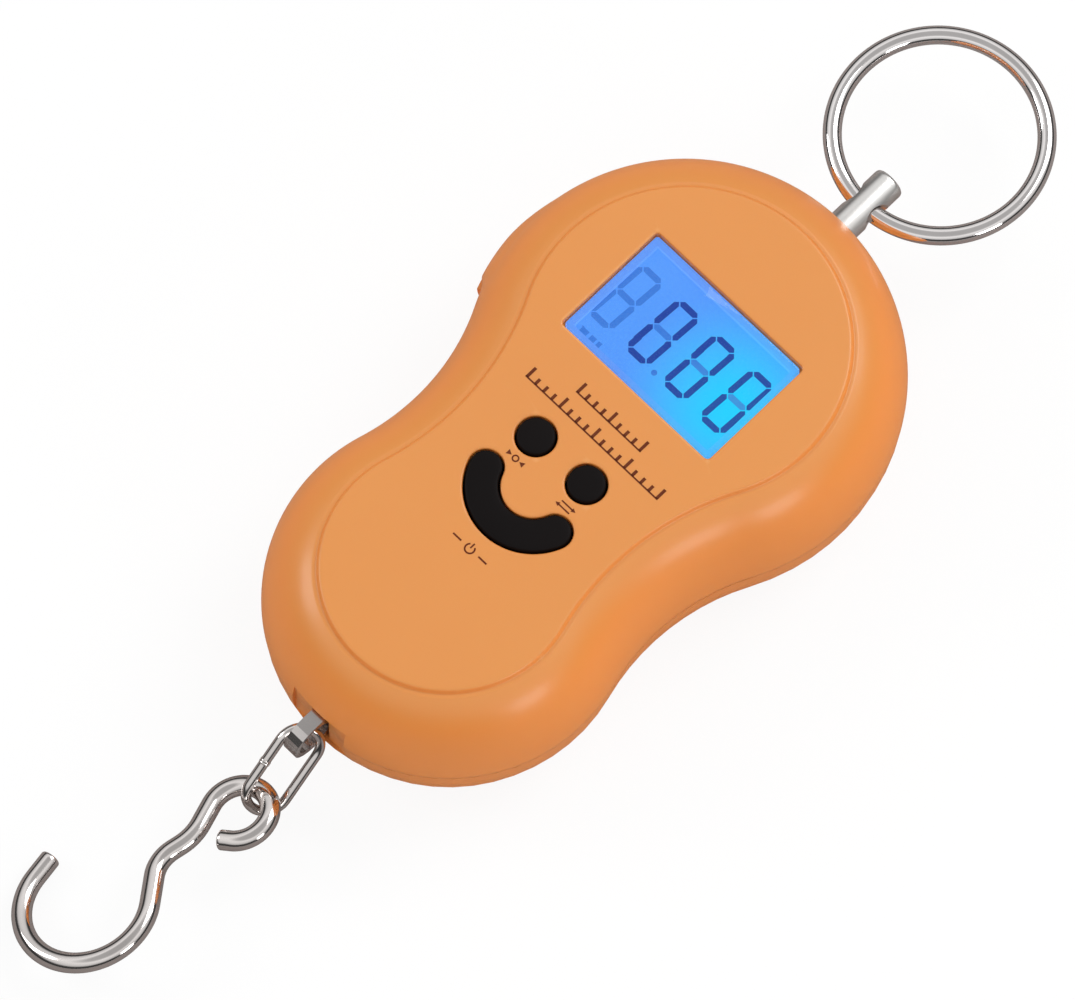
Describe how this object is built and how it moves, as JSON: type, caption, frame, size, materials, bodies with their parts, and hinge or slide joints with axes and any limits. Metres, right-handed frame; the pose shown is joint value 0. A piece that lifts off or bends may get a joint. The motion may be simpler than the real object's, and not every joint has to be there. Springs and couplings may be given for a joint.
{
  "type": "digital fish scale",
  "caption": "Hand-held digital fish scale: gourd-shaped orange case, backlit display, three buttons, hanging ring on a rod above and an open wire hook on a chain link below.",
  "frame": {"origin": "on the flat back face, on the centreline, midway between the two lower case screws", "axes": "+Z out of the face, +Y from the hook towards the ring, +X to the viewer's right when looking at the face with the ring up"},
  "size_m": [0.0602, 0.1818, 0.0269],
  "materials": {
    "front_cover": "semi-gloss orange",
    "back_cover": "semi-gloss orange",
    "battery_door": "satin orange",
    "case_screw": "dark zinc",
    "display_window": "clear acrylic",
    "lcd_glass": "blue backlit display",
    "backlight_panel": "milky light guide",
    "zebra_strip": "matte elastomer",
    "button": "matte black",
    "switch_body": "matte black",
    "plunger": "off-white",
    "circuit_board": "green solder mask",
    "board_screw": "zinc plated",
    "chip_blob": "black epoxy",
    "crystal": "drawn can",
    "capacitor": "ceramic",
    "load_cell": "satin nickel",
    "strain_gauge": "polyimide foil",
    "suspension_rod": "bright nickel",
    "clevis_pin": "ground",
    "hanging_ring": "bright chrome",
    "chain_link": "bright nickel",
    "hook": "bright nickel",
    "battery_cell": null,
    "contact": "nickel plated",
    "contact_spring": "nickel plated",
    "lead_red": "red PVC",
    "lead_black": "black PVC",
    "gauge_cable": "grey PVC"
  },
  "bodies": {
    "case": {"front_cover": "front_cover", "back_cover": "back_cover", "case_screw_1": "case_screw", "case_screw_2": "case_screw", "case_screw_3": "case_screw", "case_screw_4": "case_screw", "display_window": "display_window", "lcd_glass": "lcd_glass", "backlight_panel": "backlight_panel", "zebra_strip": "zebra_strip", "tare_switch": "switch_body", "unit_switch": "switch_body", "power_switch": "switch_body", "circuit_board": "circuit_board", "board_screw_1": "board_screw", "board_screw_2": "board_screw", "board_screw_3": "board_screw", "board_screw_4": "board_screw", "chip_blob": "chip_blob", "crystal": "crystal", "capacitor_1": "capacitor", "capacitor_2": "capacitor", "load_cell": "load_cell", "strain_gauge_1": "strain_gauge", "strain_gauge_2": "strain_gauge", "suspension_rod": "suspension_rod", "clevis_pin": "clevis_pin", "battery_cell_1": "battery_cell", "battery_cell_2": "battery_cell", "series_contact_1": "contact", "series_contact_2": "contact", "positive_contact": "contact", "negative_contact": "contact", "contact_spring_1": "contact_spring", "contact_spring_2": "contact_spring", "lead_red": "lead_red", "lead_black": "lead_black", "gauge_cable": "gauge_cable"},
    "ring": {"hanging_ring": "hanging_ring"},
    "link": {"chain_link": "chain_link"},
    "hook": {"hook": "hook"},
    "door": {"battery_door": "battery_door"},
    "tare": {"tare_button": "button", "tare_plunger": "plunger"},
    "unit": {"unit_button": "button", "unit_plunger": "plunger"},
    "power": {"power_button": "button", "power_plunger": "plunger"}
  },
  "joints": [
    {"name": "ring_swing", "type": "hinge", "parent": "case", "child": "ring", "pos_m": [0, 0.0914, 0.0128], "axis": [1, 0, 0], "range_deg": [-100, 100]},
    {"name": "link_swing", "type": "hinge", "parent": "case", "child": "link", "pos_m": [0, -0.01335, 0.0132], "axis": [1, 0, 0], "range_deg": [-24, 33]},
    {"name": "hook_swing", "type": "hinge", "parent": "link", "child": "hook", "pos_m": [0.001, -0.02484, 0.006], "axis": [0.6848, 0.4287, -0.5893], "range_deg": [-38, 22]},
    {"name": "tare_press", "type": "slide", "parent": "case", "child": "tare", "axis": [0, 0, -1], "range_m": [0, 0.0005], "stiffness_N_per_m": 400},
    {"name": "unit_press", "type": "slide", "parent": "case", "child": "unit", "axis": [0, 0, -1], "range_m": [0, 0.0005], "stiffness_N_per_m": 400},
    {"name": "power_press", "type": "slide", "parent": "case", "child": "power", "axis": [0, 0, -1], "range_m": [0, 0.0005], "stiffness_N_per_m": 400},
    {"name": "battery_door_open", "type": "hinge", "parent": "case", "child": "door", "pos_m": [0, 0.05905, 0.00145], "axis": [1, 0, 0], "range_deg": [0, 75]}
  ]
}
